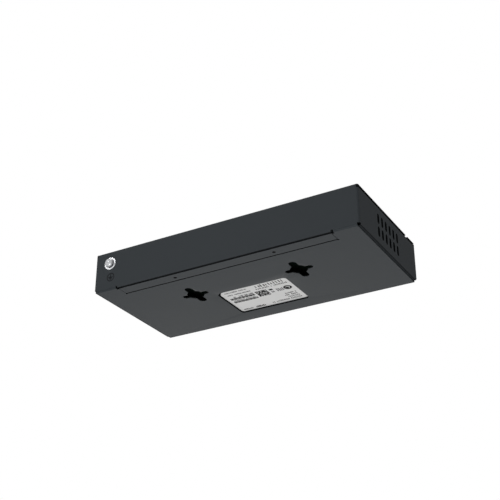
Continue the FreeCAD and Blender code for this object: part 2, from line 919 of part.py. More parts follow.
# ------------------------------------------------------------------ power jack
def power_jack_body():
    """Moulded jack with a round nose in the front panel."""
    axis_z = board_top + jack_axis_height
    body = box(
        jack_x - jack_width / 2,
        jack_x + jack_width / 2,
        inner_front + seam_gap,
        front_y + jack_depth,
        board_top,
        board_top + jack_height,
    )
    start = V(jack_x, front_y, axis_z)
    nose = cylinder(jack_nose, jack_depth / 2, start, V(0, 1, 0))
    bore = cylinder(jack_bore, jack_bore_depth, start, V(0, 1, 0))
    return body.fuse(nose).cut(bore).removeSplitter()


def power_jack_pin():
    """Centre pin of the jack, seated on the bore's end wall."""
    tip = front_y + jack_pin_recess
    start = V(jack_x, tip, board_top + jack_axis_height)
    return cylinder(jack_pin, front_y + jack_bore_depth - tip, start, V(0, 1, 0))


# ------------------------------------------------------------------ indicator lights
def light_pipes():
    """Clear moulding: light guides to the panel on a bar that stands on the board on two feet."""
    low_x = light_first_x - light_bar_margin
    bar_front = front_y + light_bar_back
    bar_back = bar_front + light_bar_depth
    top = board_top + light_low_height + light_row_pitch + light_height
    bar_low = board_top + led_size[2] + led_gap
    bar = box(low_x, lights_right, bar_front, bar_back, bar_low, top)
    feet = [
        box(low_x, low_x + light_foot, bar_front, bar_back, board_top, bar_low),
        box(lights_right - light_foot, lights_right, bar_front, bar_back, board_top, bar_low),
    ]
    guides = light_blocks(0, front_y, bar_front)
    return bar.fuse(feet + guides).removeSplitter()


def indicator_leds():
    """Pairs of small light-emitting chips under the bar."""
    y = front_y + light_bar_back + light_bar_depth / 2
    leds = []
    for column in range(light_columns):
        x = light_first_x + column * light_pitch
        for side in (-led_pitch / 2, led_pitch / 2):
            leds.append(standing_block((x + side, y), led_size, board_top))
    return Part.makeCompound(leds)


# ------------------------------------------------------------------ parts on the board
def line_transformers():
    """Moulded transformers behind the port blocks, one for each pair of ports."""
    y = front_y + port_block_depth + shield_thickness + transformer_gap + transformer_size[1] / 2
    first = port_block_x - port_block_half + port_block_end + port_pitch
    places = [first + 2 * port_pitch * step for step in range(port_count // 2)]
    places.append(uplink_block_x)
    return Part.makeCompound([standing_block((x, y), transformer_size, board_top) for x in places])


def switch_chip():
    """Flat package of the switching chip."""
    return standing_block(chip_centre, chip_size, board_top)


def thermal_pad():
    """Soft pad between chip and heat sink."""
    size = (chip_size[0], chip_size[1], pad_thickness)
    return standing_block(chip_centre, size, board_top + chip_size[2])


def heat_sink():
    """Extruded heat sink with upright fins."""
    low = board_top + chip_size[2] + pad_thickness
    side = heat_sink_side
    sink = standing_block(chip_centre, (side, side, heat_sink_base), low)
    pitch = (side - heat_sink_fin) / (heat_sink_fins - 1)
    first = chip_centre[0] - (side - heat_sink_fin) / 2
    fins = []
    for step in range(heat_sink_fins):
        place = (first + step * pitch, chip_centre[1])
        fins.append(standing_block(place, (heat_sink_fin, side, heat_sink_height), low))
    return sink.fuse(fins).removeSplitter()


def memory_chip():
    """Small memory package beside the heat sink."""
    x, y = chip_centre
    x += heat_sink_side / 2 + memory_gap + memory_size[0] / 2
    return standing_block((x, y), memory_size, board_top)


def crystal_can():
    """Crystal in a metal can with round ends, on the heat sink's other side."""
    length, width, height = crystal_size
    x, y = chip_centre
    x -= heat_sink_side / 2 + crystal_gap + length / 2
    return moved(slot(length, width, height), x, y - crystal_forward, board_top)


def bulk_capacitors():
    """Row of upright electrolytic capacitors."""
    can = cylinder(capacitor_diameter, capacitor_height, V(0, 0, 0), V(0, 0, 1))
    rim = max(can.Edges, key=lambda edge: edge.CenterOfMass.z)
    can = can.makeChamfer(capacitor_chamfer, [rim])
    x = capacitor_from_side - half_width
    places = [capacitor_first_y + step * capacitor_pitch for step in range(capacitor_count)]
    return Part.makeCompound([moved(can, x, y, board_top) for y in places])


def power_inductor():
    """Moulded power inductor with round corners."""
    wide, deep, high = inductor_size
    block = rounded_block(wide, deep, inductor_corner, 0, high)
    return moved(block, inductor_from_side - half_width, inductor_y, board_top)


def power_chips():
    """Power-feed controllers."""
    x = power_chip_from_side - half_width
    places = [(x, power_chip_first_y + step * power_chip_pitch) for step in range(power_chip_count)]
    return Part.makeCompound([standing_block(place, power_chip_size, board_top) for place in places])


def small_capacitors():
    """Row of ceramic capacitors along the board's rear edge."""
    y = board_rear - small_cap_rear_inset
    first = -(small_cap_count - 1) * small_cap_pitch / 2
    places = [(first + step * small_cap_pitch, y) for step in range(small_cap_count)]
    return Part.makeCompound([standing_block(place, small_cap_size, board_top) for place in places])


# ------------------------------------------------------------------ all pieces
def pieces():
    """Every piece of the switch by the name of its node."""
    ports = (port_block_x, port_block_half, port_count)
    uplinks = (uplink_block_x, uplink_block_half, uplink_count)
    return {
        "base_shell": base_shell(),
        "top_cover": top_cover(),
        "closing_strip": closing_strip(),
        "strip_screws": strip_screws(),
        "backing_strip": backing_strip(),
        "rating_label": rating_label(),
        "ground_screw": ground_screw(),
        "ground_spring_washer": ground_spring_washer(),
        "ground_washer": ground_washer(),
        "ground_weld_nut": ground_weld_nut(),
        "insulating_film": insulating_film(),
        "board_standoffs": board_standoffs(),
        "main_board": main_board(),
        "board_screws": board_screws(),
        "port_housing": port_housing(*ports),
        "port_shield": port_shield(*ports),
        "port_contacts": port_contacts(port_block_x, port_count),
        "uplink_housing": port_housing(*uplinks),
        "uplink_shield": port_shield(*uplinks),
        "uplink_contacts": port_contacts(uplink_block_x, uplink_count),
        "power_jack_body": power_jack_body(),
        "power_jack_pin": power_jack_pin(),
        "light_pipes": light_pipes(),
        "indicator_leds": indicator_leds(),
        "line_transformers": line_transformers(),
        "switch_chip": switch_chip(),
        "thermal_pad": thermal_pad(),
        "heat_sink": heat_sink(),
        "memory_chip": memory_chip(),
        "crystal_can": crystal_can(),
        "bulk_capacitors": bulk_capacitors(),
        "power_inductor": power_inductor(),
        "power_chips": power_chips(),
        "small_capacitors": small_capacitors(),
    }


def main():
    """Write one STEP file for each piece."""
    os.makedirs("parts", exist_ok=True)
    for name, shape in pieces().items():
        shape.exportStep("parts/" + name + ".step")
        print(name, len(shape.Solids), round(shape.Volume, 1), shape.isValid())


main()
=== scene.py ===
"""Looks of a small network switch in a folded sheet-metal case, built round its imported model."""
import json
import math

import bpy
import numpy as np
from mathutils import Matrix, Vector


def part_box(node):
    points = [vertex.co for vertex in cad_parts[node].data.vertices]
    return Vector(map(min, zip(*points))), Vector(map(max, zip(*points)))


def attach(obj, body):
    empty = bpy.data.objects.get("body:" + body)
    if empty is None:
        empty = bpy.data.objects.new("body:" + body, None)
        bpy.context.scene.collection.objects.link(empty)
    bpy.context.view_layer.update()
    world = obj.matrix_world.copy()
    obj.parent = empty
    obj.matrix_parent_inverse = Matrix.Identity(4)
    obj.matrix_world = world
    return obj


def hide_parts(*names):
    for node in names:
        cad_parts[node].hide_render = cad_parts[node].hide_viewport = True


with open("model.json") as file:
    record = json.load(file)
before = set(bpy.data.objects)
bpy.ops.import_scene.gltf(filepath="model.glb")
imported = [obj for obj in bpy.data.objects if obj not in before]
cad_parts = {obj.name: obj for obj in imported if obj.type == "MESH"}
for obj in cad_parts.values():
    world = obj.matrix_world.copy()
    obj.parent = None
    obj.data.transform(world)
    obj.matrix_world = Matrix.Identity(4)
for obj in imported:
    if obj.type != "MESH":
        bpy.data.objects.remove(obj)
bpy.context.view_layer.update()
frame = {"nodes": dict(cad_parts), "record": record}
nodes = frame["nodes"]

MM = 0.001
scene = bpy.context.scene

# ------------------------------------------------------------------ places read from the frame
shell_low, shell_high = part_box("base_shell")
strip_low, strip_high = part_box("closing_strip")
label_low, label_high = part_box("rating_label")
washer_low, washer_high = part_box("ground_washer")
screw_low, screw_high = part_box("ground_screw")
head_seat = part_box("ground_spring_washer")[1].y    # the head sits on the spring washer's outer face
lid_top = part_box("top_cover")[1].z
shell_middle = (shell_low + shell_high) / 2
underside_middle = Vector((shell_middle.x, shell_middle.y, shell_low.z))
screw_axis = (washer_low + washer_high) / 2
sheet = strip_high.z - strip_low.z                 # thickness of the folded sheet


# ------------------------------------------------------------------ camera
VIEW_SIDE_ANGLE = 29.71      # degrees from straight behind, towards the -X end
VIEW_UP_ANGLE = 27.34        # degrees that the line of sight climbs
VIEW_DISTANCE = 0.7519
AIM_OFFSET = Vector((-0.8, 6.85, 27.36)) * MM    # aim point, from the middle of the underside
LENS = 75.08
SENSOR = 36.0
NEAR_CLIP = 0.01             # metres


def line_of_sight():
    """Unit vector of the view: the side angle and the climb turned into X, Y and Z."""
    side = math.radians(VIEW_SIDE_ANGLE)
    climb = math.radians(VIEW_UP_ANGLE)
    level = math.cos(climb)
    return Vector((math.sin(side) * level, -math.cos(side) * level, math.sin(climb)))


def looking_along(sight, place):
    """Matrix that puts a camera or lamp at a place, facing along a direction."""
    return Matrix.Translation(place) @ sight.to_track_quat("-Z", "Y").to_matrix().to_4x4()


def make_camera():
    """Camera behind and below the case, looking up at its underside."""
    sight = line_of_sight()
    data = bpy.data.cameras.new("camera")
    data.lens = LENS
    data.sensor_width = SENSOR
    data.clip_start = NEAR_CLIP
    camera = bpy.data.objects.new("camera", data)
    camera.matrix_world = looking_along(sight, underside_middle + AIM_OFFSET - sight * VIEW_DISTANCE)
    scene.collection.objects.link(camera)
    scene.camera = camera


make_camera()


# ------------------------------------------------------------------ meshes worked out as arrays
def mesh_piece(name, points, faces):
    """New object from an array of points and an array of faces with equally many corners."""
    points = np.ascontiguousarray(points, dtype=np.float32).reshape(-1, 3)
    faces = np.ascontiguousarray(faces, dtype=np.int32)
    count, corners = faces.shape
    mesh = bpy.data.meshes.new(name)
    mesh.vertices.add(len(points))
    mesh.vertices.foreach_set("co", points.ravel())
    mesh.loops.add(count * corners)
    mesh.loops.foreach_set("vertex_index", faces.ravel())
    mesh.polygons.add(count)
    mesh.polygons.foreach_set("loop_start", np.arange(count, dtype=np.int32) * corners)
    mesh.polygons.foreach_set("use_smooth", np.zeros(count, dtype=bool))
    mesh.update(calc_edges=True)
    mesh.validate()
    piece = bpy.data.objects.new(name, mesh)
    scene.collection.objects.link(piece)
    return piece


BLOCK_CORNERS = np.array([[x, y, z] for x in (0, 1) for y in (0, 1) for z in (0, 1)])
BLOCK_FACES = np.array(
    [[0, 1, 3, 2], [4, 6, 7, 5], [0, 4, 5, 1], [2, 3, 7, 6], [0, 2, 6, 4], [1, 5, 7, 3]]
)


def blocks(low, high):
    """Points and faces of many blocks: corner = low + step * (high - low), step being 0 or 1 on an axis."""
    low = np.asarray(low, dtype=float).reshape(-1, 1, 3)
    high = np.asarray(high, dtype=float).reshape(-1, 1, 3)
    points = low + BLOCK_CORNERS[None] * (high - low)
    faces = BLOCK_FACES[None] + 8 * np.arange(len(low))[:, None, None]
    return points.reshape(-1, 3), faces.reshape(-1, 4)


def ring_grid(profile, steps, closed=True):
    """Profile of (radius, height) points turned about Z in equal steps.

    x = radius * cos(angle) and y = radius * sin(angle). A closed profile's last point joins its first; an
    open one starts and ends on the axis.
    """
    profile = np.asarray(profile, dtype=float)
    angle = 2 * np.pi * np.arange(steps) / steps
    x = np.outer(np.cos(angle), profile[:, 0])
    y = np.outer(np.sin(angle), profile[:, 0])
    z = np.broadcast_to(profile[:, 1], x.shape)
    points = np.stack([x, y, z], axis=-1)
    width = len(profile)
    spans = width if closed else width - 1
    rows, columns = np.meshgrid(np.arange(steps), np.arange(spans), indexing="ij")
    next_row = (rows + 1) % steps
    next_column = (columns + 1) % width
    faces = np.stack(
        [
            rows * width + columns,
            next_row * width + columns,
            next_row * width + next_column,
            rows * width + next_column,
        ],
        axis=-1,
    )
    return points.reshape(-1, 3), faces.reshape(-1, 4)


def joined(parts):
    """One set of points and faces from several, each with its faces numbered on from the one before."""
    points = []
    faces = []
    start = 0
    for part_points, part_faces in parts:
        points.append(part_points)
        faces.append(part_faces + start)
        start += len(part_points)
    return np.concatenate(points), np.concatenate(faces)


# ------------------------------------------------------------------ shader node groups
def new_group(name, inputs, outputs):
    """Empty shader group with named sockets; gives its tree, inputs and outputs."""
    tree = bpy.data.node_groups.new(name, "ShaderNodeTree")
    for socket_name, kind, value in inputs:
        socket = tree.interface.new_socket(name=socket_name, in_out="INPUT", socket_type=kind)
        socket.default_value = value
    for socket_name, kind in outputs:
        tree.interface.new_socket(name=socket_name, in_out="OUTPUT", socket_type=kind)
    return tree, tree.nodes.new("NodeGroupInput"), tree.nodes.new("NodeGroupOutput")


def noise(tree, vector, scale, detail, roughness):
    """Noise texture on a vector; scale is a socket or a number of waves per metre."""
    node = tree.nodes.new("ShaderNodeTexNoise")
    tree.links.new(vector, node.inputs["Vector"])
    if isinstance(scale, (int, float)):
        node.inputs["Scale"].default_value = scale
    else:
        tree.links.new(scale, node.inputs["Scale"])
    node.inputs["Detail"].default_value = detail
    node.inputs["Roughness"].default_value = roughness
    return node.outputs["Fac"]


def math_node(tree, operation, first, second):
    """Math node with numbers or sockets as its two inputs."""
    node = tree.nodes.new("ShaderNodeMath")
    node.operation = operation
    for slot, value in enumerate((first, second)):
        if isinstance(value, (int, float)):
            node.inputs[slot].default_value = value
        else:
            tree.links.new(value, node.inputs[slot])
    return node.outputs["Value"]


def blend(tree, first, second, share):
    """Sum of two waves, the first by its share and the second by the rest."""
    return math_node(
        tree,
        "ADD",
        math_node(tree, "MULTIPLY", first, share),
        math_node(tree, "MULTIPLY", second, 1 - share),
    )


def swing(tree, wave, middle, spread):
    """Middle value plus a 0..1 wave, centred, times a spread."""
    centred = math_node(tree, "SUBTRACT", wave, 0.5)
    return math_node(tree, "ADD", math_node(tree, "MULTIPLY", centred, spread), middle)


def shaded(tree, colour, factor):
    """Colour multiplied by a grey factor."""
    node = tree.nodes.new("ShaderNodeVectorMath")
    node.operation = "SCALE"
    tree.links.new(colour, node.inputs[0])
    tree.links.new(factor, node.inputs["Scale"])
    return node.outputs["Vector"]


PAINTED_SHADE = "painted_shade"        # face attribute of painted shade: 1 where the coat is darkened and fully matt as if in shadow, and 0 on plain faces
CLOUD_SCALE = 34.0           # all scales here are in waves per metre
PEBBLE_SHARE = 0.6           # pebbles in the coat's tone, the rest being clouds
MOTTLE_SCALE = 420.0
STREAK_SHARE = 0.5           # streaks in the metal's tone, the rest being mottle
DRIFT_SCALE = 90.0
SURFACE_OUTPUTS = [
    ("Colour", "NodeSocketColor"),
    ("Roughness", "NodeSocketFloat"),
    ("Height", "NodeSocketFloat"),
]


def object_vector(tree):
    """Object coordinates of the piece."""
    return tree.nodes.new("ShaderNodeTexCoord").outputs["Object"]


def painted_shadow_rim(tree, place, given):
    """Painted shadow under the lid's side edges: 1 between two levels and further out along X, to either
    side, than a reach; else 0.
    """
    axes = tree.nodes.new("ShaderNodeSeparateXYZ")
    tree.links.new(place, axes.inputs["Vector"])
    above = math_node(tree, "GREATER_THAN", axes.outputs["Z"], given.outputs["Shadow rim low"])
    below = math_node(tree, "LESS_THAN", axes.outputs["Z"], given.outputs["Shadow rim high"])
    side = math_node(tree, "ABSOLUTE", axes.outputs["X"], 0.0)
    out = math_node(tree, "GREATER_THAN", side, given.outputs["Shadow rim reach"])
    return math_node(tree, "MULTIPLY", math_node(tree, "MULTIPLY", above, below), out)


def powder_coat_group():
    """Baked powder: fine pebbles, cloudy tone and uneven sheen.

    Cut edges and a rim between two levels near the ends get painted shade: they are darkened as if in
    shadow, and fully matt. Painted shade tone is the share of the colour that is left there.
    """
    tree, given, result = new_group(
        "powder_coat",
        [
            ("Colour", "NodeSocketColor", (0.05, 0.05, 0.05, 1)),
            ("Grain", "NodeSocketFloat", 2600.0),
            ("Tone spread", "NodeSocketFloat", 0.1),
            ("Roughness", "NodeSocketFloat", 0.5),
            ("Roughness spread", "NodeSocketFloat", 0.1),
            ("Painted shade tone", "NodeSocketFloat", 0.12),
            ("Shadow rim low", "NodeSocketFloat", 1.0),      # a shadow rim one metre up is none
            ("Shadow rim high", "NodeSocketFloat", 1.0),
            ("Shadow rim reach", "NodeSocketFloat", 1.0),
        ],
        SURFACE_OUTPUTS,
    )
    place = object_vector(tree)
    pebbles = noise(tree, place, given.outputs["Grain"], detail=3.0, roughness=0.55)
    clouds = noise(tree, place, CLOUD_SCALE, detail=3.0, roughness=0.5)
    factor = swing(tree, blend(tree, pebbles, clouds, PEBBLE_SHARE), 1.0, given.outputs["Tone spread"])
    # painted shade: the marked faces and the shadow rim are darkened and made matt
    edge = tree.nodes.new("ShaderNodeAttribute")
    edge.attribute_name = PAINTED_SHADE
    dark = math_node(tree, "MAXIMUM", edge.outputs["Fac"], painted_shadow_rim(tree, place, given))
    loss = math_node(tree, "SUBTRACT", 1.0, given.outputs["Painted shade tone"])
    kept = math_node(tree, "SUBTRACT", 1.0, math_node(tree, "MULTIPLY", dark, loss))
    factor = math_node(tree, "MULTIPLY", factor, kept)
    tree.links.new(shaded(tree, given.outputs["Colour"], factor), result.inputs["Colour"])
    rough = swing(tree, pebbles, given.outputs["Roughness"], given.outputs["Roughness spread"])
    rise = math_node(tree, "MULTIPLY", math_node(tree, "SUBTRACT", 1.0, rough), dark)
    tree.links.new(math_node(tree, "ADD", rough, rise), result.inputs["Roughness"])
    tree.links.new(pebbles, result.inputs["Height"])
    return tree


def worked_metal_group():
    """Plated or drawn metal: streaks, whose scale is given for each axis, under a fine mottle."""
    tree, given, result = new_group(
        "worked_metal",
        [
            ("Colour", "NodeSocketColor", (0.7, 0.7, 0.7, 1)),
            ("Streaks", "NodeSocketVector", (900.0, 900.0, 60.0)),
            ("Tone spread", "NodeSocketFloat", 0.12),
            ("Roughness", "NodeSocketFloat", 0.25),
            ("Roughness spread", "NodeSocketFloat", 0.15),
        ],
        SURFACE_OUTPUTS,
    )
    stretch = tree.nodes.new("ShaderNodeVectorMath")
    stretch.operation = "MULTIPLY"
    tree.links.new(object_vector(tree), stretch.inputs[0])
    tree.links.new(given.outputs["Streaks"], stretch.inputs[1])
    streaks = noise(tree, stretch.outputs["Vector"], 1.0, detail=2.0, roughness=0.6)
    mottle = noise(tree, object_vector(tree), MOTTLE_SCALE, detail=3.0, roughness=0.55)
    factor = swing(tree, blend(tree, streaks, mottle, STREAK_SHARE), 1.0, given.outputs["Tone spread"])
    tree.links.new(shaded(tree, given.outputs["Colour"], factor), result.inputs["Colour"])
    rough = swing(tree, mottle, given.outputs["Roughness"], given.outputs["Roughness spread"])
    tree.links.new(rough, result.inputs["Roughness"])
    tree.links.new(streaks, result.inputs["Height"])
    return tree


def moulded_group():
    """Moulded or printed surface: grain in cells and a slow drift of tone."""
    tree, given, result = new_group(
        "moulded",
        [
            ("Colour", "NodeSocketColor", (0.05, 0.05, 0.05, 1)),
            ("Grain", "NodeSocketFloat", 1800.0),
            ("Tone spread", "NodeSocketFloat", 0.1),
            ("Roughness", "NodeSocketFloat", 0.5),
            ("Roughness spread", "NodeSocketFloat", 0.12),
        ],
        SURFACE_OUTPUTS,
    )
    place = object_vector(tree)
    cells = tree.nodes.new("ShaderNodeTexVoronoi")
    tree.links.new(place, cells.inputs["Vector"])
    tree.links.new(given.outputs["Grain"], cells.inputs["Scale"])
    grain = cells.outputs["Distance"]
    drift = noise(tree, place, DRIFT_SCALE, detail=2.0, roughness=0.5)
    factor = swing(tree, drift, 1.0, given.outputs["Tone spread"])
    tree.links.new(shaded(tree, given.outputs["Colour"], factor), result.inputs["Colour"])
    rough = swing(tree, grain, given.outputs["Roughness"], given.outputs["Roughness spread"])
    tree.links.new(rough, result.inputs["Roughness"])
    tree.links.new(grain, result.inputs["Height"])
    return tree


POWDER_COAT = powder_coat_group()
WORKED_METAL = worked_metal_group()
MOULDED = moulded_group()


# ------------------------------------------------------------------ materials
def surface(name, group, values, bump, bump_distance, specular=0.5, metallic=0.0):
    """Material whose colour, roughness and bump come from a group."""
    material = bpy.data.materials.new(name)
    material.use_nodes = True
    tree = material.node_tree
    shader = tree.nodes["Principled BSDF"]
    effect = tree.nodes.new("ShaderNodeGroup")
    effect.node_tree = group
    for socket_name, value in values.items():
        effect.inputs[socket_name].default_value = value
    tree.links.new(effect.outputs["Colour"], shader.inputs["Base Color"])
    tree.links.new(effect.outputs["Roughness"], shader.inputs["Roughness"])
    shader.inputs["Specular IOR Level"].default_value = specular
    shader.inputs["Metallic"].default_value = metallic
    relief = tree.nodes.new("ShaderNodeBump")
    relief.inputs["Strength"].default_value = bump
    relief.inputs["Distance"].default_value = bump_distance
    tree.links.new(effect.outputs["Height"], relief.inputs["Height"])
    tree.links.new(relief.outputs["Normal"], shader.inputs["Normal"])
    return material


def grey(red, green, blue):
    """Colour with full alpha from linear values."""
    return (red, green, blue, 1.0)


SHADOW_RIM_DROP = 2.4 * MM          # the painted shadow under the lid's side edges reaches this far below the lid's top
SHADOW_RIM_TOP_SKIN = 0.03 * MM     # the lid's top itself keeps its colour
SHADOW_RIM_WIDTH = 1.3 * MM         # inwards from the ends of the case


def painted(name, colour, roughness, specular):
    """Powder-coated steel, with painted shadow in a rim under the lid's side edges."""
    values = {
        "Colour": colour,
        "Roughness": roughness,
        "Tone spread": 0.14,
        "Shadow rim low": lid_top - SHADOW_RIM_DROP,
        "Shadow rim high": lid_top - SHADOW_RIM_TOP_SKIN,
        "Shadow rim reach": shell_high.x - SHADOW_RIM_WIDTH,
    }
    return surface(name, POWDER_COAT, values, bump=0.25, bump_distance=0.03 * MM, specular=specular)


EVEN = (500.0, 500.0, 500.0)         # streaks' waves per metre along X, Y and Z
ALONG_Y = (1500.0, 70.0, 1500.0)


def metal(name, colour, roughness, tone_spread, streaks=EVEN, metallic=1.0):
    """Bare or plated metal; a matt plating is less metallic."""
    values = {"Colour": colour, "Roughness": roughness, "Streaks": streaks, "Tone spread": tone_spread}
    return surface(name, WORKED_METAL, values, bump=0.15, bump_distance=0.02 * MM, metallic=metallic)


def moulding(name, colour, roughness, grain, specular=0.4):
    """Moulded plastic, resin, film, paper or ink."""
    values = {"Colour": colour, "Roughness": roughness, "Grain": grain}
    return surface(name, MOULDED, values, bump=0.2, bump_distance=0.02 * MM, specular=specular)


# Name of each finish, its kind of surface, its colour and the kind's other values.
FINISHES = {
    "case_paint": (painted, grey(0.0465, 0.0530, 0.0585), dict(roughness=0.55, specular=0.10)),
    # near-black coat of the small screws and the backing strip; on the strip, seen through the window's gap,
    # it also stands in for the shade there
    "black_steel": (painted, grey(0.004, 0.004, 0.005), dict(roughness=0.7, specular=0.02)),
    "zinc_plate": (metal, grey(0.90, 0.91, 0.93), dict(roughness=0.30, tone_spread=0.10, metallic=0.45)),
    # near-black steel for the spring washer: painted shade between the screw head and the flat washer
    "spring_washer_shade": (metal, grey(0.05, 0.05, 0.055), dict(roughness=0.4, tone_spread=0.10)),
    "label_paper": (moulding, grey(0.71, 0.71, 0.705), dict(roughness=0.45, grain=1500.0, specular=0.3)),
    "dark_ink": (moulding, grey(0.014, 0.014, 0.015), dict(roughness=0.6, grain=2200.0, specular=0.1)),
    "grey_ink": (moulding, grey(0.12, 0.12, 0.125), dict(roughness=0.55, grain=2200.0, specular=0.2)),
    "earth_ink": (moulding, grey(0.014, 0.015, 0.017), dict(roughness=0.6, grain=2200.0, specular=0.1)),
    "insulating_film": (moulding, grey(0.006, 0.006, 0.007), dict(roughness=0.45, grain=900.0)),
    "board_laminate": (moulding, grey(0.004, 0.009, 0.006), dict(roughness=0.45, grain=700.0, specular=0.2)),
    "black_moulding": (moulding, grey(0.010, 0.010, 0.011), dict(roughness=0.45, grain=1400.0)),
    "shield_metal": (metal, grey(0.66, 0.66, 0.65), dict(roughness=0.28, tone_spread=0.14, streaks=ALONG_Y)),
    "contact_gold": (metal, grey(0.90, 0.66, 0.28), dict(roughness=0.22, tone_spread=0.10, streaks=ALONG_Y)),
    "clear_moulding": (moulding, grey(0.62, 0.64, 0.64), dict(roughness=0.25, grain=600.0, specular=0.5)),
    "led_body": (moulding, grey(0.70, 0.70, 0.62), dict(roughness=0.35, grain=900.0)),
    "chip_resin": (moulding, grey(0.010, 0.010, 0.010), dict(roughness=0.5, grain=1600.0)),
    "soft_pad": (moulding, grey(0.16, 0.18, 0.21), dict(roughness=0.8, grain=1100.0, specular=0.2)),
    "bare_aluminium": (
        metal,
        grey(0.62, 0.63, 0.64),
        dict(roughness=0.35, tone_spread=0.12, streaks=ALONG_Y),
    ),
    "capacitor_sleeve": (moulding, grey(0.012, 0.012, 0.020), dict(roughness=0.3, grain=800.0)),
    "capacitor_body": (moulding, grey(0.32, 0.20, 0.11), dict(roughness=0.5, grain=1300.0)),
}
finishes = {name: make(name, colour, **values) for name, (make, colour, values) in FINISHES.items()}

slot_of = {row["node"]: row["material_slot"] for row in frame["record"]["subparts"]}
own_finish = {"ground_spring_washer": "spring_washer_shade"}     # looks that differ from their slot's: the spring washer is near-black as painted shade under the screw head


def dress(piece, finish):
    """Put one finish on every material slot of a piece."""
    if not piece.material_slots:
        piece.data.materials.append(finishes[finish])
    for slot in piece.material_slots:
        slot.material = finishes[finish]


for node_name, node in nodes.items():
    dress(node, slot_of[node_name])


# ------------------------------------------------------------------ smooth copies of folded pieces
SMOOTH_ANGLE = math.radians(32)
MERGE_DISTANCE = 0.0005 * MM
NORMAL_WEIGHT = 100          # the largest: normals follow the large faces
ACROSS_LIMIT = 0.15          # how far a cut edge's normal may lean across the sheet
SKIN_REACH = 0.01 * MM       # faces nearer than this to a sheet's surface are part of it
SLOT_REACH = 2.5 * MM        # the slots along the lower folds lie this near the ends and the rear
FLOOR_SLOT_SHADE = 0.25       # painted shade on the slots' edges is weaker than on punched ones, on the floor's side
WALL_SLOT_SHADE = 0.85        # and on the wall's side

# The sheet's walls as (axis, low, high).
SHEET_WALLS = [
    (0, shell_low.x, shell_low.x + sheet),
    (0, shell_high.x - sheet, shell_high.x),
    (1, shell_low.y, shell_low.y + sheet),
    (1, shell_high.y - sheet, shell_high.y),
    (2, shell_low.z, shell_low.z + sheet),
    (2, lid_top - sheet, lid_top),
]


def face_values(mesh, name):
    """One vector for each face, such as its centre or its normal."""
    values = np.empty(len(mesh.polygons) * 3, dtype=np.float32)
    mesh.polygons.foreach_get(name, values)
    return values.reshape(-1, 3)


def set_painted_shade(mesh, marks):
    """Keep one mark of painted shade for each face, from 0 to 1, for the coat to read."""
    attribute = mesh.attributes.new(PAINTED_SHADE, "FLOAT", "FACE")
    attribute.data.foreach_set("value", marks)


def mark_painted_shade(mesh):
    """Paint shade on the faces inside a wall's thickness that stand across it, and on the roof of the
    label's recess, as if they lay in shadow.

    The skins of the front and rear walls are left out. The edges of the slots along the lower folds get
    weaker painted shade of their own.
    """
    centre = face_values(mesh, "center")
    normal = np.abs(face_values(mesh, "normal"))
    facing = normal > 1 - ACROSS_LIMIT
    cut = np.zeros(len(mesh.polygons), dtype=bool)
    for axis, low, high in SHEET_WALLS:
        within = (centre[:, axis] > low + SKIN_REACH) & (centre[:, axis] < high - SKIN_REACH)
        cut |= within & (normal[:, axis] < ACROSS_LIMIT)
    on_front = np.abs(centre[:, 1] - shell_low.y) < SKIN_REACH
    on_rear = np.abs(centre[:, 1] - shell_high.y) < SKIN_REACH
    cut &= ~((on_front | on_rear) & facing[:, 1])
    cut |= (np.abs(centre[:, 2] - label_high.z) < SKIN_REACH) & facing[:, 2]
    near_end = np.abs(centre[:, 0]) > shell_high.x - SLOT_REACH
    near_rear = centre[:, 1] > shell_high.y - SLOT_REACH
    by_slot = (near_end | near_rear) & (centre[:, 2] < shell_low.z + 2 * sheet)
    slot_shade = np.where(facing[:, 0], FLOOR_SLOT_SHADE, WALL_SLOT_SHADE)
    set_painted_shade(mesh, np.where(by_slot, slot_shade, 1.0) * cut)


def apply_modifiers(piece):
    """Give the piece the mesh that its modifiers make, and take them away."""
    finished = piece.evaluated_get(bpy.context.evaluated_depsgraph_get())
    piece.data = bpy.data.meshes.new_from_object(finished)
    piece.modifiers.clear()


def add_weld(piece):
    """Join corners that lie on one another."""
    weld = piece.modifiers.new("weld", "WELD")
    weld.merge_threshold = MERGE_DISTANCE


def shade_smooth(piece):
    """Smooth shading, except at edges sharper than the limit, with normals that follow the large faces."""
    piece.data.polygons.foreach_set("use_smooth", np.ones(len(piece.data.polygons), dtype=bool))
    piece.data.set_sharp_from_angle(angle=SMOOTH_ANGLE)
    weight = piece.modifiers.new("weighted_normals", "WEIGHTED_NORMAL")
    weight.mode = "FACE_AREA"
    weight.keep_sharp = True
    weight.weight = NORMAL_WEIGHT


def take_place(piece, node_name):
    """Let a piece stand for a node, with the node's finish."""
    dress(piece, own_finish.get(node_name, slot_of[node_name]))
    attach(piece, "root")
    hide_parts(node_name)


def smooth_copy(node_name):
    """The node's own shape with joined corners, so that folds and turned faces shade smoothly."""
    piece = bpy.data.objects.new(node_name + "_smooth", nodes[node_name].data.copy())
    scene.collection.objects.link(piece)
    add_weld(piece)
    apply_modifiers(piece)
    mark_painted_shade(piece.data)
    shade_smooth(piece)
    take_place(piece, node_name)


for copied_node in ("base_shell", "top_cover", "closing_strip", "ground_spring_washer"):
    smooth_copy(copied_node)


# ------------------------------------------------------------------ trim over the floor's side slots
TRIM_WIDTH = 1.7 * MM
TRIM_THICKNESS = 0.1 * MM
TRIM_GAP = 0.02 * MM         # air to the sheet
TRIM_SHADE = 0.5              # painted shade, weaker than on a cut edge


def slot_trim():
    """Thin painted strip over each slot beside the floor, seen at the bottom of the seam and darkened by
    painted shade: two blocks.
    """
    out = shell_high.x - sheet - TRIM_GAP
    level = shell_low.z + sheet + TRIM_GAP
    top = level + TRIM_THICKNESS
    front = shell_low.y + SLOT_REACH
    rear = shell_high.y - SLOT_REACH
    low = [(-out, front, level), (out - TRIM_WIDTH, front, level)]
    high = [(TRIM_WIDTH - out, rear, top), (out, rear, top)]
    piece = mesh_piece("slot_trim", *blocks(low, high))
    set_painted_shade(piece.data, np.full(len(piece.data.polygons), TRIM_SHADE))
    dress(piece, "case_paint")
    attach(piece, "root")


slot_trim()


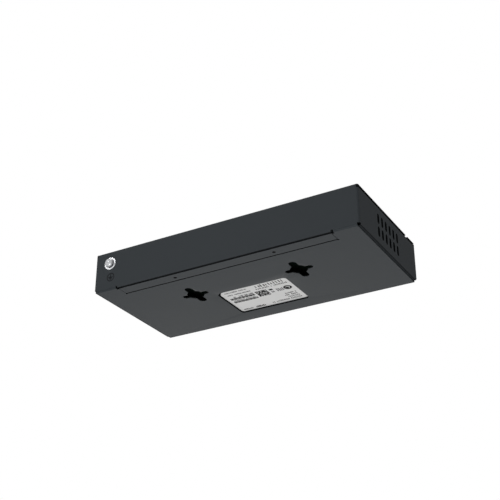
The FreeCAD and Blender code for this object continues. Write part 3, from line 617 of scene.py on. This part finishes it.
# ------------------------------------------------------------------ ground screw and its flat washer
THREAD_RADIUS = 2.0 * MM
TIP_CHAMFER = 0.4 * MM
HEAD_RIM = 0.3 * MM          # straight part of the head's side
HEAD_POWER = 2.0             # 2 gives an elliptic head, more a flatter one
HEAD_STEPS = 14
HEAD_SHARE = 0.92            # of the node's width
ROUND_STEPS = 96
DRIVE_REACH = 1.1 * MM       # half the length of the cross recess at the crown
DRIVE_HALF = 0.28 * MM       # half the width of its slots
DRIVE_DEPTH = 0.8 * MM
DRIVE_TURN = math.radians(20)
WASHER_BORE_RADIUS = 2.15 * MM
WASHER_EDGE = 0.16 * MM      # radius of the washer's round edges
EDGE_STEPS = 5


def stand_on_wall(points, level):
    """Points made about Z, set about the screw's axis: X turns to -X, Y to up and Z to out of the wall."""
    x, y, z = points.T
    return np.stack([screw_axis.x - x, level + z, screw_axis.z + y], axis=-1)


def screw_profile():
    """Screw from tip to crown as (radius, height).

    The crown is a quarter of a superellipse: radius = head radius * cos(turn) ^ (2 / power), and
    height = rim + dome * sin(turn) ^ (2 / power).
    """
    seat = head_seat - screw_low.y
    head_radius = HEAD_SHARE * (screw_high.x - screw_low.x) / 2
    dome = screw_high.y - head_seat - HEAD_RIM
    shank = [
        (0, 0),
        (THREAD_RADIUS - TIP_CHAMFER, 0),
        (THREAD_RADIUS, TIP_CHAMFER),
        (THREAD_RADIUS, seat),
        (head_radius, seat),
    ]
    turn = np.linspace(0, np.pi / 2, HEAD_STEPS)
    radius = head_radius * np.cos(turn).clip(0) ** (2 / HEAD_POWER)
    height = seat + HEAD_RIM + dome * np.sin(turn) ** (2 / HEAD_POWER)
    radius[-1] = 0
    return np.concatenate([np.array(shank), np.stack([radius, height], axis=-1)])


def drive_wedges(crown):
    """Two crossed wedges: blocks whose length shrinks to their width at the recess's depth.

    They stand as far above the crown as they reach below it, so at the crown they have about half of the
    length at their top.
    """
    wedges = []
    for along, across in ((0, 1), (1, 0)):
        points = BLOCK_CORNERS * 2.0 - 1.0
        upper = points[:, 2] > 0
        points[:, along] *= np.where(upper, 2 * DRIVE_REACH, DRIVE_HALF)
        points[:, across] *= DRIVE_HALF
        points[:, 2] = np.where(upper, crown + DRIVE_DEPTH, crown - DRIVE_DEPTH)
        wedges.append((points, BLOCK_FACES))
    return wedges


def ground_screw():
    """Pan-head screw with a round crown and a cross recess."""
    profile = screw_profile()
    points, faces = ring_grid(profile, ROUND_STEPS, closed=False)
    piece = mesh_piece("ground_screw_round", stand_on_wall(points, screw_low.y), faces)
    add_weld(piece)
    turn = np.array(Matrix.Rotation(DRIVE_TURN, 3, "Z"))
    cutters = []
    for points, faces in drive_wedges(profile[-1, 1]):
        cutter = mesh_piece("drive_cutter", stand_on_wall(points @ turn.T, screw_low.y), faces)
        cut = piece.modifiers.new("drive", "BOOLEAN")
        cut.operation = "DIFFERENCE"
        cut.object = cutter
        cutters.append(cutter)
    apply_modifiers(piece)
    for cutter in cutters:
        bpy.data.objects.remove(cutter)
    shade_smooth(piece)
    take_place(piece, "ground_screw")


def arc(centre_x, centre_y, radius, quarter, steps):
    """Quarter circle: centre + radius * (cos, sin) of an angle that runs from quarter to quarter + 1."""
    turn = (quarter + np.linspace(0, 1, steps)) * np.pi / 2
    return np.stack([centre_x + radius * np.cos(turn), centre_y + radius * np.sin(turn)], axis=-1)


def rounded_section(low_radius, high_radius, height, edge):
    """Closed section of a flat ring with round edges, as (radius, height): four quarter circles."""
    corners = [
        (high_radius - edge, edge, edge, -1),
        (high_radius - edge, height - edge, edge, 0),
        (low_radius + edge, height - edge, edge, 1),
        (low_radius + edge, edge, edge, 2),
    ]
    return np.concatenate([arc(*corner, EDGE_STEPS) for corner in corners])


def ground_washer():
    """Flat washer with the round edges of a stamped ring."""
    radius = (washer_high.x - washer_low.x) / 2
    thickness = washer_high.y - washer_low.y
    section = rounded_section(WASHER_BORE_RADIUS, radius, thickness, WASHER_EDGE)
    points, faces = ring_grid(section, ROUND_STEPS)
    piece = mesh_piece("ground_washer_round", stand_on_wall(points, washer_low.y), faces)
    shade_smooth(piece)
    take_place(piece, "ground_washer")


ground_screw()
ground_washer()


# ------------------------------------------------------------------ label
LABEL_CORNER = 1.8 * MM
LABEL_KEY_CORNER = 6.4 * MM  # the larger corner, at the rear towards +X
CORNER_STEPS = 13


def label_outline():
    """Label seen from above, anticlockwise from its corner at +X and +Y: four quarter circles."""
    small = LABEL_CORNER
    large = LABEL_KEY_CORNER
    corners = [
        (label_high.x - large, label_high.y - large, large, 0),
        (label_low.x + small, label_high.y - small, small, 1),
        (label_low.x + small, label_low.y + small, small, 2),
        (label_high.x - small, label_low.y + small, small, 3),
    ]
    return np.concatenate([arc(*corner, CORNER_STEPS) for corner in corners])


def label_sheet():
    """The label as a thin sheet: its outline at two levels, both closed by fans from the middle."""
    outline = label_outline()
    count = len(outline)
    middle = (outline.min(axis=0) + outline.max(axis=0)) / 2
    plan = np.concatenate([outline, middle[None]])
    level = np.repeat((label_low.z, label_high.z), count + 1)
    points = np.column_stack([np.tile(plan, (2, 1)), level])
    step = np.arange(count)
    after = (step + 1) % count
    hub = np.full(count, count)          # the middle's number at the lower level
    above = count + 1                    # added to a number, it gives the same point at the upper level
    faces = np.concatenate(
        [
            np.column_stack([after, step, hub]),
            np.column_stack([above + step, above + after, above + hub]),
            np.column_stack([step, after, above + after]),
            np.column_stack([step, above + after, above + step]),
        ]
    )
    take_place(mesh_piece("rating_label_sheet", points, faces), "rating_label")


label_sheet()


# ------------------------------------------------------------------ print on the label
# Places on the label are in millimetres: u runs from its +X end and v from its rear edge.
INK_THICKNESS = 0.012 * MM
PRINT_SEED = 7

STROKE_SHIFT = 0.2           # a stroke starts up to this share of its row's pitch late
STROKE_WIDTHS = (0.75, 1.2)  # its least and its greatest width, against the row's own
STROKE_GAPS = 0.08           # share of strokes left out
STROKE_DROPS = [0.0, 0.0, 0.25]    # shares of the row's height by which it may start lower

BAR_PITCH = 0.5
BAR_SHARE = 0.8              # of the pitch
BAR_SWELL = 0.15             # the bars swell and thin by this much
BAR_BEAT = 3.1               # once in this length
BAR_PHASE = 0.8              # and are widest here

CODE_CELLS = 18
CODE_SHARE = 0.8             # share of the square field's cells that are filled

MARK_HOLE = 0.52             # the round mark's parts, as shares of its radius
MARK_DISC = 0.42
MARK_SHIFT_U = -0.14
MARK_SHIFT_V = 0.12

# Rows of strokes as (low u, high u, low v, high v, pitch, share of ink).
GREY_ROWS = [
    (3.5, 21.6, 2.9, 4.7, 0.9, 0.68),
    (2.8, 22.9, 7.1, 8.8, 0.9, 0.78),
    (6.4, 22.8, 11.2, 12.9, 0.9, 0.85),
    (3.6, 21.8, 16.9, 18.7, 0.9, 0.62),
    (35.2, 38.4, 15.9, 18.6, 0.9, 0.68),
    (40.0, 45.6, 13.8, 18.6, 1.4, 0.56),
    (2.2, 11.0, 33.6, 35.5, 1.0, 0.80),
]
DARK_ROWS = [
    (28.7, 52.3, 2.0, 5.9, 2.1, 0.42),
    (27.4, 52.8, 7.0, 9.0, 1.2, 0.52),
    (42.4, 52.2, 23.6, 25.2, 1.0, 0.70),
    (40.8, 52.2, 26.4, 28.3, 1.3, 0.62),
    (42.0, 52.2, 29.5, 31.4, 1.2, 0.52),
    (12.8, 21.6, 33.1, 35.8, 1.2, 0.70),
    (27.4, 52.2, 32.4, 34.7, 1.1, 0.52),
]
BAR_FIELDS = [(2.6, 22.6, 13.3, 16.2), (2.6, 22.6, 18.9, 21.6)]    # low u, high u, low v, high v
SMALL_MARK = (35.2, 38.0, 12.3, 14.6)                              # the same
CODE_PLACE = (24.2, 11.3, 9.3)                                     # low u, low v, size
ROUND_MARK = (49.1, 15.8, 3.2)                                     # u, v, radius


def ink_blocks(low_u, high_u, low_v, high_v):
    """Ink rectangles under the label, each a block between two values of u and two of v."""
    low_u, high_u, low_v, high_v = np.broadcast_arrays(*np.atleast_1d(low_u, high_u, low_v, high_v))
    level = np.full(low_u.shape, label_low.z)
    low = [label_high.x - high_u * MM, label_high.y - high_v * MM, level - INK_THICKNESS]
    high = [label_high.x - low_u * MM, label_high.y - low_v * MM, level]
    return blocks(np.stack(low, axis=-1), np.stack(high, axis=-1))


def stroke_row(random, low_u, high_u, low_v, high_v, pitch, share):
    """Row of short upright strokes, as small print looks from afar, with no letters.

    Each starts at low u + number * pitch plus a random shift and has a random width and height. Some are
    left out.
    """
    count = int((high_u - low_u) / pitch)
    starts = low_u + np.arange(count) * pitch + random.uniform(0, STROKE_SHIFT * pitch, count)
    widths = share * pitch * random.uniform(*STROKE_WIDTHS, count)
    kept = random.uniform(size=count) > STROKE_GAPS
    tops = low_v + (high_v - low_v) * random.choice(STROKE_DROPS, count)
    return ink_blocks(starts[kept], (starts + widths)[kept], tops[kept], high_v)


def bar_field(low_u, high_u, low_v, high_v):
    """Upright bars of full height; width = pitch * (share + swell * cos(2 pi (place - phase) / beat))."""
    starts = np.arange(low_u, high_u, BAR_PITCH)
    share = BAR_SHARE + BAR_SWELL * np.cos(2 * np.pi * (starts - low_u - BAR_PHASE) / BAR_BEAT)
    return ink_blocks(starts, starts + share * BAR_PITCH, low_v, high_v)


def square_code(random, low_u, low_v, size):
    """Square field of filled and empty cells in a random order, with no message."""
    rows, columns = np.meshgrid(np.arange(CODE_CELLS), np.arange(CODE_CELLS), indexing="ij")
    filled = random.uniform(size=rows.shape) < CODE_SHARE
    cell = size / CODE_CELLS
    left = low_u + columns[filled] * cell
    top = low_v + rows[filled] * cell
    return ink_blocks(left, left + cell, top, top + cell)


def flat_ring(inner, outer, low, high):
    """Square section of a ring, as (radius, height)."""
    return [(inner, low), (outer, low), (outer, high), (inner, high)]


def ink_ring(u, v, inner, outer):
    """Ink ring under the label, round a point."""
    points, faces = ring_grid(flat_ring(inner * MM, outer * MM, -INK_THICKNESS, 0), ROUND_STEPS)
    return points + np.array((label_high.x - u * MM, label_high.y - v * MM, label_low.z)), faces


def round_mark(u, v, radius):
    """Plain round mark: a dark ring round a smaller dark disc that sits off its middle."""
    ring = ink_ring(u, v, MARK_HOLE * radius, radius)
    disc = ink_ring(u + MARK_SHIFT_U * radius, v + MARK_SHIFT_V * radius, 0.0, MARK_DISC * radius)
    return [ring, disc]


def printed(name, parts, ink):
    """One layer of ink on the label."""
    piece = mesh_piece(name, *joined(parts))
    dress(piece, ink)
    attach(piece, "root")


def label_print():
    """All ink on the label: rows of strokes, bar fields, a square field and plain marks."""
    random = np.random.default_rng(PRINT_SEED)
    printed("label_grey_print", [stroke_row(random, *row) for row in GREY_ROWS], "grey_ink")
    dark = [stroke_row(random, *row) for row in DARK_ROWS]
    dark += [bar_field(*field) for field in BAR_FIELDS]
    dark.append(square_code(random, *CODE_PLACE))
    dark.append(ink_blocks(*SMALL_MARK))
    dark += round_mark(*ROUND_MARK)
    printed("label_dark_print", dark, "dark_ink")


label_print()


# ------------------------------------------------------------------ earth sign under the ground screw
EARTH_DROP = 10.9 * MM       # below the screw's axis
EARTH_SIDE = 0.7 * MM        # from the screw's axis towards -X
EARTH_RADIUS = 3.3 * MM
EARTH_LINE = 0.7 * MM
EARTH_THICKNESS = 0.02 * MM
EARTH_STEPS = 48
EARTH_STEM = 0.68            # height of the stem; this and the next two are shares of the sign's radius
EARTH_BARS = (0.62, 0.42, 0.2)     # half of each bar's length, from the top bar down
EARTH_BAR_STEP = 0.24


def earth_sign():
    """Printed earth sign: a ring, and blocks for a stem and three bars that shorten downwards."""
    half = EARTH_LINE / 2
    section = flat_ring(EARTH_RADIUS - EARTH_LINE, EARTH_RADIUS, 0, EARTH_THICKNESS)
    lows = [(-half, -half, 0)]
    highs = [(half, EARTH_STEM * EARTH_RADIUS, EARTH_THICKNESS)]
    for step, share in enumerate(EARTH_BARS):
        level = -step * EARTH_BAR_STEP * EARTH_RADIUS
        lows.append((-share * EARTH_RADIUS, level - half, 0))
        highs.append((share * EARTH_RADIUS, level + half, EARTH_THICKNESS))
    points, faces = joined([ring_grid(section, EARTH_STEPS), blocks(lows, highs)])
    points = stand_on_wall(points, shell_high.y) - np.array((EARTH_SIDE, 0, EARTH_DROP))
    piece = mesh_piece("earth_sign", points, faces)
    dress(piece, "earth_ink")
    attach(piece, "root")


earth_sign()


# ------------------------------------------------------------------ floor, backdrop and light
FLOOR_DROP = 1.1
FLOOR_SIZE = 8.0
FLOOR_THICKNESS = 0.02
FLOOR_COLOUR = grey(0.85, 0.85, 0.85)
FLOOR_ROUGHNESS = 0.9
FLOOR_SEEN = grey(0.78, 0.78, 0.78)      # to the camera
BACKDROP_COLOUR = grey(1.0, 1.0, 1.0)
BACKDROP_SEEN = 1.0          # strength to the camera
AMBIENT = 0.33               # and to all other rays
WARM = (1.0, 0.97, 0.94)
PLAIN = (1.0, 1.0, 1.0)
COOL = (0.965, 0.99, 1.0)

# Name, place from the middle of the underside, size, power and colour.
LAMPS = [
    ("key_below", (0.3, -0.6, -0.2), 0.6, 1.5, WARM),
    ("fill_behind", (-0.14, 0.68, -0.68), 0.6, 3.15, COOL),
    ("glint_behind", (0.45, 0.85, 0.45), 0.3, 1.8, PLAIN),
    ("light_above", (0.1, -0.3, 1.1), 0.6, 5.0, PLAIN),
    ("light_in_front", (0.35, -1.1, 0.4), 0.6, 4.4, PLAIN),
]


def told_apart(tree, for_others, for_camera):
    """Shader that is one thing to the camera and another to all other rays."""
    path = tree.nodes.new("ShaderNodeLightPath")
    mix = tree.nodes.new("ShaderNodeMixShader")
    tree.links.new(path.outputs["Is Camera Ray"], mix.inputs["Fac"])
    tree.links.new(for_others, mix.inputs[1])
    tree.links.new(for_camera, mix.inputs[2])
    return mix.outputs["Shader"]


def floor():
    """Wide floor well below the case, which the camera sees as a plain pale grey."""
    half = FLOOR_SIZE / 2
    level = shell_low.z - FLOOR_DROP
    points, faces = blocks([(-half, -half, level - FLOOR_THICKNESS)], [(half, half, level)])
    piece = mesh_piece("floor", points, faces)
    material = bpy.data.materials.new("pale_floor")
    material.use_nodes = True
    tree = material.node_tree
    shader = tree.nodes["Principled BSDF"]
    shader.inputs["Base Color"].default_value = FLOOR_COLOUR
    shader.inputs["Roughness"].default_value = FLOOR_ROUGHNESS
    seen = tree.nodes.new("ShaderNodeEmission")
    seen.inputs["Color"].default_value = FLOOR_SEEN
    mixed = told_apart(tree, shader.outputs["BSDF"], seen.outputs["Emission"])
    tree.links.new(mixed, tree.nodes["Material Output"].inputs["Surface"])
    piece.data.materials.append(material)


def background(tree, strength):
    """Background light of one strength."""
    node = tree.nodes.new("ShaderNodeBackground")
    node.inputs["Color"].default_value = BACKDROP_COLOUR
    node.inputs["Strength"].default_value = strength
    return node.outputs["Background"]


def backdrop():
    """World that is white to the camera and lights everything evenly."""
    world = bpy.data.worlds.new("studio")
    scene.world = world
    world.use_nodes = True
    tree = world.node_tree
    tree.nodes.clear()
    mixed = told_apart(tree, background(tree, AMBIENT), background(tree, BACKDROP_SEEN))
    output = tree.nodes.new("ShaderNodeOutputWorld")
    tree.links.new(mixed, output.inputs["Surface"])


def soft_light(name, offset, size, power, colour):
    """Square lamp at an offset from the middle of the underside, aimed at it."""
    data = bpy.data.lights.new(name, "AREA")
    data.size = size
    data.energy = power
    data.color = colour
    lamp = bpy.data.objects.new(name, data)
    lamp.matrix_world = looking_along(-Vector(offset), underside_middle + Vector(offset))
    scene.collection.objects.link(lamp)


floor()
backdrop()
for lamp in LAMPS:
    soft_light(*lamp)

scene.view_settings.view_transform = "Standard"
